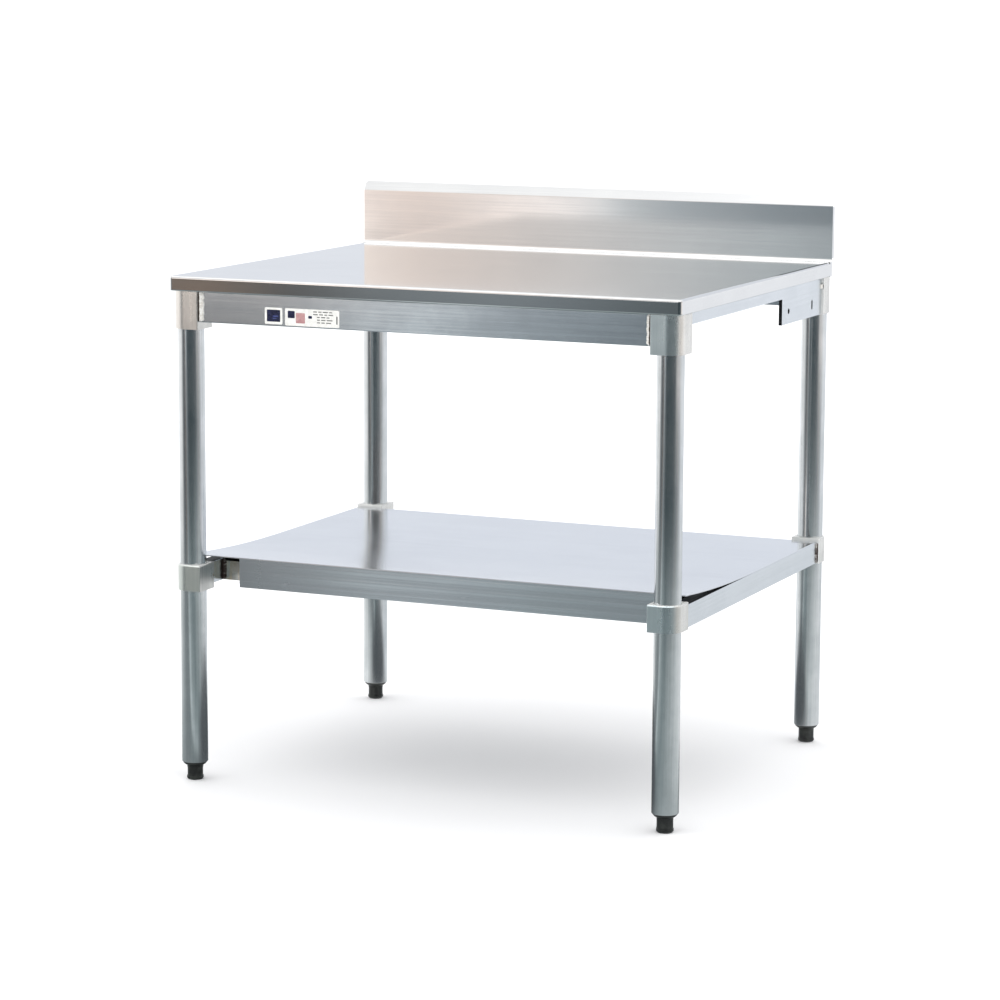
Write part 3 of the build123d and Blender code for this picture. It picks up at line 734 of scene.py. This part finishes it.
def make_camera():
    """A long lens from the front right, a little above the top."""
    yaw, pitch, roll = 0.413, 0.159, 0.005
    data = bpy.data.cameras.new("camera")
    data.sensor_width = 36.0
    data.lens = 122.6
    camera = add_object("camera", data)
    camera.location = (2.3253, -5.3482, 1.3959)
    aim = Euler((math.radians(90) - pitch, 0.0, yaw), "XYZ").to_matrix()
    camera.rotation_euler = (aim @ Euler((0.0, 0.0, roll), "XYZ").to_matrix()).to_euler()
    bpy.context.scene.camera = camera


def heading(tree, x, y):
    """0 straight behind the table, 0.25 to its right, 0.5 in front and 0.75 to its left."""
    turn = tree.math("ARCTAN2", tree.math("MULTIPLY", x, -1.0), tree.math("MULTIPLY", y, -1.0))
    return tree.math("MULTIPLY_ADD", turn, 0.5 / math.pi, 0.5)


def make_world():
    """Walls round the table under a bright ceiling, with a softbox over the front.

    They show only in reflections. The camera sees plain white, and an even grey lights all else.
    """
    world = bpy.data.worlds.new("studio")
    bpy.context.scene.world = world
    tree = Tree(world)
    x, y, z = tree.split(tree.add("TexCoord").outputs["Generated"])
    room = tree.mix(tree.between(z, 0.30, 0.80), tree.ramp(heading(tree, x, y), WALLS), SKY)
    softbox = tree.product(
        tree.between(z, 0.77, 0.81),
        tree.between(z, 0.92, 0.96, 1.0, 0.0),
        tree.between(y, -0.12, 0.0, 1.0, 0.0),
    )
    room = tree.mix(softbox, room, SOFTBOX)
    path = tree.add("LightPath")
    lit = tree.mix(path.outputs["Is Glossy Ray"], grey(FILL_LIGHT), room)
    shown = tree.mix(path.outputs["Is Camera Ray"], lit, grey(1.0))
    background = tree.tree.nodes["Background"]
    tree.links.new(shown, background.inputs["Color"])
    background.inputs["Strength"].default_value = 1.0


def make_floor():
    """A sheet of white paper that runs out of sight."""
    half = 300.0
    corners = [(-half, -half, 0), (half, -half, 0), (half, half, 0), (-half, half, 0)]
    mesh = bpy.data.meshes.new("floor")
    mesh.from_pydata(corners, [], [(0, 1, 2, 3)])
    floor = add_object("floor", mesh)
    m = Material("paper")
    m.set(Base_Color=srgb(247, 247, 248), Roughness=0.9)
    mesh.materials.append(m.material)


def disc(name, height, inner, outer, rings=12, segments=96):
    """A flat round mesh whose rings stand closer together towards its middle."""
    vertices, faces = [(0.0, 0.0, height)], []
    for ring in range(rings + 1):
        radius = inner * (outer / inner) ** (ring / rings)
        for k in range(segments):
            turn = 2 * math.pi * k / segments
            vertices.append((radius * math.sin(turn), -radius * math.cos(turn), height))
    for k in range(segments):
        after = (k + 1) % segments
        faces.append((0, 1 + k, 1 + after))
        for ring in range(rings):
            a, b = 1 + ring * segments + k, 1 + ring * segments + after
            faces.append((a, a + segments, b + segments, b))
    mesh = bpy.data.meshes.new(name)
    mesh.from_pydata(vertices, [], faces)
    return mesh


def dim_floor_glow():
    """What is mirrored of the floor, by its heading and its distance in metres from the middle, with
    the table's shadow painted in dark under it.
    """
    material = bpy.data.materials.new("dim_floor")
    m = Tree(material)
    m.tree.nodes.remove(m.tree.nodes["Principled BSDF"])
    x, y, _ = m.split(m.place())
    around = heading(m, x, y)
    distance = m.math("SQRT", m.math("MULTIPLY_ADD", x, x, m.math("MULTIPLY", y, y)))
    # painted shadow under the table, fading out between 0.35 and 0.68 m
    colour = m.mix(m.between(distance, 0.35, 0.68), FLOOR_SHADOW_UNDER_TABLE, m.ramp(around, FLOOR_NEAR))
    colour = m.mix(m.between(distance, 2.0, 3.5), colour, m.ramp(around, FLOOR_FAR))
    colour = m.mix(m.between(distance, 5.4, 6.6), colour, m.ramp(around, FLOOR_BEYOND))
    at_window = m.product(
        m.between(distance, 9.2, 9.9),
        m.between(around, 0.560, 0.566),
        m.between(around, 0.588, 0.590, 1.0, 0.0),
    )
    colour = m.mix(at_window, colour, m.ramp(around, FLOOR_AT_WINDOW))
    emission = m.add("Emission")
    m.links.new(colour, emission.inputs["Color"])
    emission.inputs["Strength"].default_value = 1.0
    m.links.new(emission.outputs[0], m.tree.nodes["Material Output"].inputs["Surface"])
    return material


def make_dim_floor():
    """A round card just over the paper, for the dim studio floor. It shows only in reflections."""
    mesh = disc("dim_floor", height=0.5 * MM, inner=0.25, outer=40.0)
    mesh.materials.append(dim_floor_glow())
    card = add_object("dim_floor", mesh)
    for rays in ("camera", "diffuse", "transmission", "shadow", "volume_scatter"):
        setattr(card, "visible_" + rays, False)


make_camera()
make_world()
make_floor()
make_dim_floor()
paint_all()
make_pieces()
bpy.context.scene.view_settings.view_transform = "Standard"
